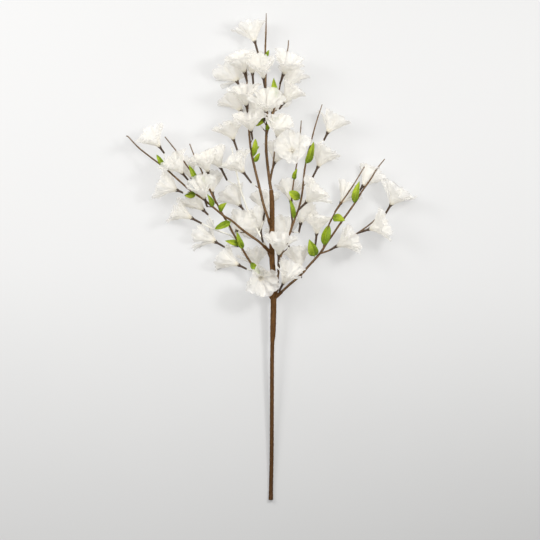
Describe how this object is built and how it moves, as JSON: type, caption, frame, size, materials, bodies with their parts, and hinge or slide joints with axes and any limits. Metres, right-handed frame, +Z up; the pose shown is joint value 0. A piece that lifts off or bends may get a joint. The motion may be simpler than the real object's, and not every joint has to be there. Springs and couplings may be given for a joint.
{
  "type": "artificial forsythia stem",
  "caption": "White artificial forsythia stem lying on its side: a taped main stem that branches into leafy twigs with ruffled cloth blooms.",
  "frame": {"origin": "on the surface the spray lies on, under the middle of its bounding box", "axes": "+Y along the stem from its cut end to its tip, +Z up from the surface, +X to the right of someone looking down on it with the tip away from them"},
  "size_m": [0.4787, 0.7991, 0.1024],
  "materials": {
    "stem_tape": "waxed paper tape, matte, wound round the stem",
    "twig_bark": "moulded twig with bark grain, matte",
    "petal_cloth": "thin stiffened cloth, matte, lets light through",
    "leaf": "printed yellow-green cloth leaf with pressed veins"
  },
  "bodies": {
    "root": {"back_left_bloom_1": "petal_cloth", "back_left_bloom_2": "petal_cloth", "back_left_bloom_3": "petal_cloth", "back_left_bloom_4": "petal_cloth", "back_left_bloom_5": "petal_cloth", "back_left_twig": "twig_bark", "inner_left_bloom_1": "petal_cloth", "inner_left_bloom_2": "petal_cloth", "inner_left_bloom_3": "petal_cloth", "inner_left_bloom_4": "petal_cloth", "inner_left_bloom_5": "petal_cloth", "inner_left_bloom_6": "petal_cloth", "inner_left_twig": "twig_bark", "inner_right_bloom_1": "petal_cloth", "inner_right_bloom_2": "petal_cloth", "inner_right_bloom_3": "petal_cloth", "inner_right_bloom_4": "petal_cloth", "inner_right_bloom_5": "petal_cloth", "inner_right_bloom_6": "petal_cloth", "inner_right_bloom_7": "petal_cloth", "inner_right_bloom_8": "petal_cloth", "inner_right_twig": "twig_bark", "leader_bloom_1": "petal_cloth", "leader_bloom_10": "petal_cloth", "leader_bloom_11": "petal_cloth", "leader_bloom_2": "petal_cloth", "leader_bloom_3": "petal_cloth", "leader_bloom_4": "petal_cloth", "leader_bloom_5": "petal_cloth", "leader_bloom_6": "petal_cloth", "leader_bloom_7": "petal_cloth", "leader_bloom_8": "petal_cloth", "leader_bloom_9": "petal_cloth", "leader_twig": "twig_bark", "left_bloom_1": "petal_cloth", "left_bloom_2": "petal_cloth", "left_bloom_3": "petal_cloth", "left_bloom_4": "petal_cloth", "left_bloom_5": "petal_cloth", "left_bloom_6": "petal_cloth", "left_twig": "twig_bark", "lower_left_bloom_1": "petal_cloth", "lower_left_bloom_2": "petal_cloth", "lower_left_bloom_3": "petal_cloth", "lower_left_bloom_4": "petal_cloth", "lower_left_bloom_5": "petal_cloth", "lower_left_bloom_6": "petal_cloth", "lower_left_bloom_7": "petal_cloth", "lower_left_bloom_8": "petal_cloth", "lower_left_twig": "twig_bark", "main_stem": "stem_tape", "right_bloom_1": "petal_cloth", "right_bloom_2": "petal_cloth", "right_bloom_3": "petal_cloth", "right_bloom_4": "petal_cloth", "right_bloom_5": "petal_cloth", "right_bloom_6": "petal_cloth", "right_bloom_7": "petal_cloth", "right_bloom_8": "petal_cloth", "right_twig": "twig_bark"}
  },
  "joints": []
}
